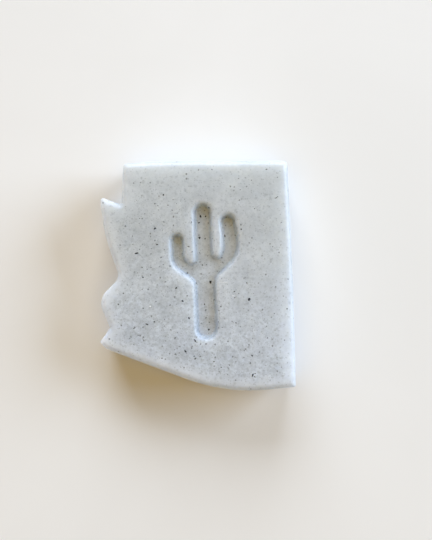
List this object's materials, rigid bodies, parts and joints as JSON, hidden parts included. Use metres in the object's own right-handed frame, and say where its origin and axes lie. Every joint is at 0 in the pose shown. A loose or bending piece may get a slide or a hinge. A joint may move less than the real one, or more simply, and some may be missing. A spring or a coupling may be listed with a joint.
{
  "type": "bar of soap",
  "caption": "Flat cast bar of soap in the outline of a desert state, with a saguaro cactus sunk into its face, a rounded face edge and a plain flat back.",
  "frame": {"origin": "middle of the bar's footprint, on its flat back", "axes": "+Z out of the face with the cactus, +Y towards the top edge of the outline and the cactus's crown, +X towards the long straight side"},
  "size_m": [0.0714, 0.0843, 0.024],
  "materials": {
    "soap": "pale blue-grey translucent soap with dark specks, satin"
  },
  "bodies": {
    "root": {"soap_bar": "soap"}
  },
  "joints": []
}
